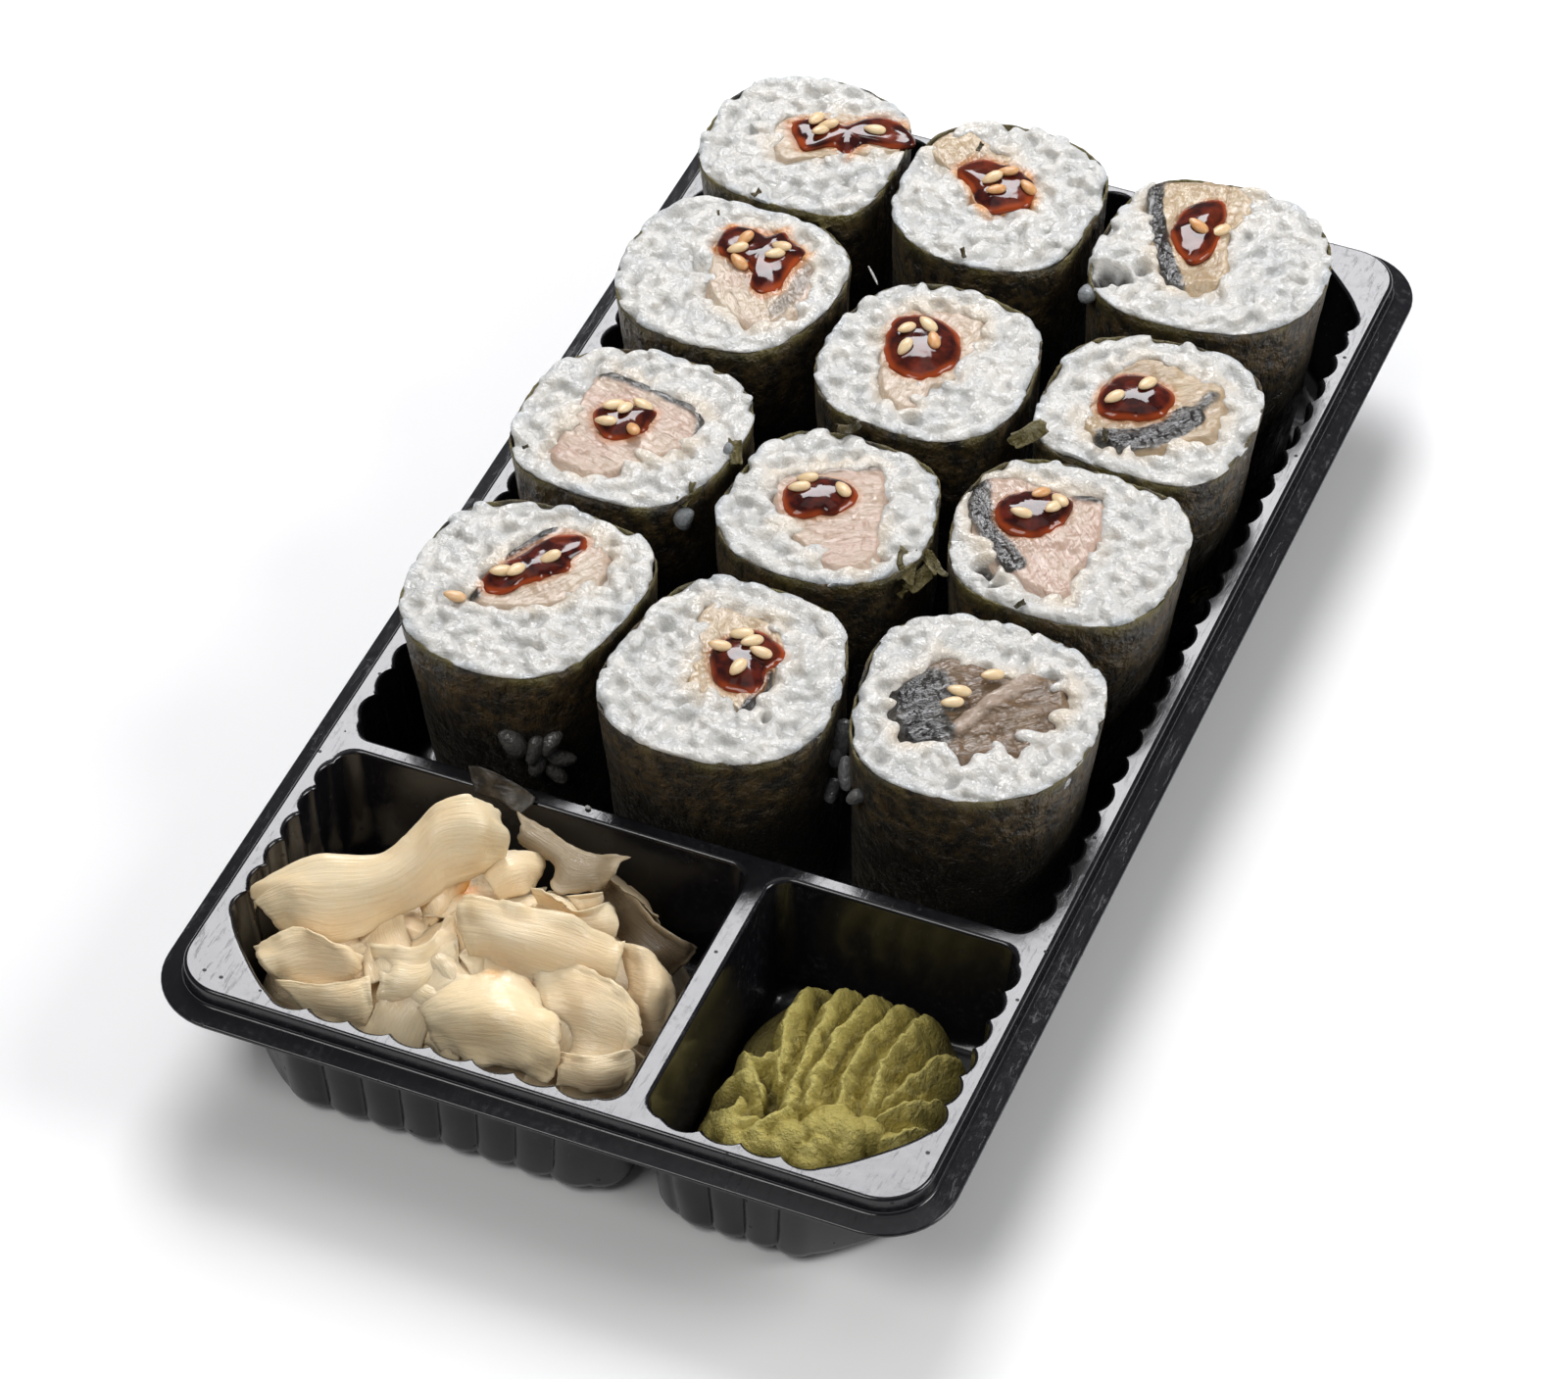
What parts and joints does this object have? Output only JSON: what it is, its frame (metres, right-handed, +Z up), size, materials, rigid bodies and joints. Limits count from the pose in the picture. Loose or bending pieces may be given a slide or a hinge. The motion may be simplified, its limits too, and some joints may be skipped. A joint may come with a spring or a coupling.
{
  "type": "takeaway sushi tray",
  "caption": "Black fluted takeaway tray of thick sushi rolls with rice, fish, sauce and sesame, pickled ginger and ridged green paste in its small wells.",
  "frame": {"origin": "centre of the tray's outline, on the plane its underside rests on", "axes": "+X across the tray, +Y along it away from the two small wells, +Z up"},
  "size_m": [0.1146, 0.2106, 0.0381],
  "materials": {
    "black_sheet": "gloss",
    "seaweed": "satin",
    "rice": "satin",
    "fish": "satin",
    "sauce": "gloss",
    "pickled_ginger": "satin",
    "green_paste": "matte",
    "fish_skin": "satin"
  },
  "bodies": {
    "root": {"tray": "black_sheet", "roll_1_left_nori": "seaweed", "roll_1_left_rice": "rice", "roll_1_left_filling": "fish", "roll_1_left_sauce": "sauce", "roll_1_mid_nori": "seaweed", "roll_1_mid_rice": "rice", "roll_1_mid_filling": "fish", "roll_1_mid_sauce": "sauce", "roll_1_right_nori": "seaweed", "roll_1_right_rice": "rice", "roll_1_right_filling": "fish", "roll_1_right_sauce": "sauce", "roll_2_left_nori": "seaweed", "roll_2_left_rice": "rice", "roll_2_left_filling": "fish", "roll_2_left_sauce": "sauce", "roll_2_mid_nori": "seaweed", "roll_2_mid_rice": "rice", "roll_2_mid_filling": "fish", "roll_2_mid_sauce": "sauce", "roll_2_right_nori": "seaweed", "roll_2_right_rice": "rice", "roll_2_right_filling": "fish", "roll_2_right_sauce": "sauce", "roll_3_left_nori": "seaweed", "roll_3_left_rice": "rice", "roll_3_left_filling": "fish", "roll_3_left_sauce": "sauce", "roll_3_mid_nori": "seaweed", "roll_3_mid_rice": "rice", "roll_3_mid_filling": "fish", "roll_3_mid_sauce": "sauce", "roll_3_right_nori": "seaweed", "roll_3_right_rice": "rice", "roll_3_right_filling": "fish", "roll_3_right_sauce": "sauce", "roll_4_left_nori": "seaweed", "roll_4_left_rice": "rice", "roll_4_left_filling": "fish", "roll_4_left_sauce": "sauce", "roll_4_mid_nori": "seaweed", "roll_4_mid_rice": "rice", "roll_4_mid_filling": "fish", "roll_4_mid_sauce": "sauce", "roll_4_right_nori": "seaweed", "roll_4_right_rice": "rice", "roll_4_right_filling": "fish", "ginger": "pickled_ginger", "wasabi": "green_paste", "skin_scrap": "fish_skin"}
  },
  "joints": []
}
